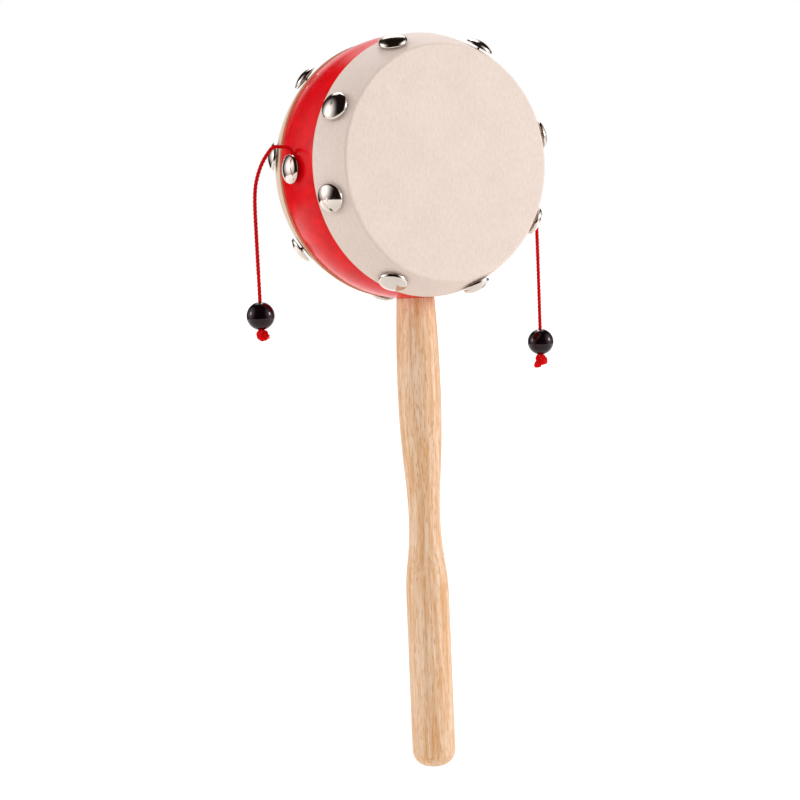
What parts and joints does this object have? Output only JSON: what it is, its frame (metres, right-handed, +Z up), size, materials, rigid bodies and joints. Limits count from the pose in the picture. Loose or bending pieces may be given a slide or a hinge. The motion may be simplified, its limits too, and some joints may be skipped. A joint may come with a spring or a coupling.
{
  "type": "pellet drum rattle",
  "caption": "Hand-held rattle drum: a barrel drum with nailed skins on a turned wooden handle, and a bead on a cord at each side that strikes the skins when the handle is twirled.",
  "frame": {"origin": "middle of the handle's straight grip, on its axis", "axes": "+Z up the handle towards the drum; -Y out of the front skin; +X towards the right-hand bead as seen from the front"},
  "size_m": [0.1362, 0.055, 0.2858],
  "materials": {
    "red_lacquer": "satin-gloss red lacquer on turned wood",
    "hide": "matte cream drum hide with fine grain",
    "beech": "clear satin finish on turned beech",
    "nickel": "bright nickel plate",
    "red_cord": "twisted red cord",
    "black_gloss": "gloss black lacquer on a turned bead"
  },
  "bodies": {
    "drum": {"drum_shell": "red_lacquer", "front_skin": "hide", "back_skin": "hide", "handle": "beech", "front_tacks": "nickel", "back_tacks": "nickel", "left_cord_tack": "nickel", "right_cord_tack": "nickel", "left_cord_end": "red_cord", "right_cord_end": "red_cord"},
    "left_root": {"left_cord_root": "red_cord"},
    "left_string": {"left_cord_upper": "red_cord"},
    "left_striker": {"left_cord_lower": "red_cord", "left_bead": "black_gloss", "left_knot": "red_cord"},
    "right_root": {"right_cord_root": "red_cord"},
    "right_string": {"right_cord_upper": "red_cord"},
    "right_striker": {"right_cord_lower": "red_cord", "right_bead": "black_gloss", "right_knot": "red_cord"}
  },
  "joints": [
    {"name": "left_lift", "type": "hinge", "parent": "drum", "child": "left_root", "pos_m": [-0.0555, 0, 0.2057], "axis": [0, 1, 0], "range_deg": [0, 90]},
    {"name": "left_swing", "type": "hinge", "parent": "left_root", "child": "left_string", "pos_m": [-0.0585, 0, 0.2056], "axis": [-1, 0, 0], "range_deg": [-90, 90]},
    {"name": "left_wrap", "type": "hinge", "parent": "left_string", "child": "left_striker", "pos_m": [-0.0674, 0, 0.17165], "axis": [-1, 0, 0], "range_deg": [-90, 90]},
    {"name": "right_lift", "type": "hinge", "parent": "drum", "child": "right_root", "pos_m": [0.0536, 0, 0.1875], "axis": [0, -1, 0], "range_deg": [0, 90]},
    {"name": "right_swing", "type": "hinge", "parent": "right_root", "child": "right_string", "pos_m": [0.056, 0, 0.1843], "axis": [1, 0, 0], "range_deg": [-90, 90]},
    {"name": "right_wrap", "type": "hinge", "parent": "right_string", "child": "right_striker", "pos_m": [0.0587, 0, 0.15035], "axis": [1, 0, 0], "range_deg": [-90, 90]}
  ]
}
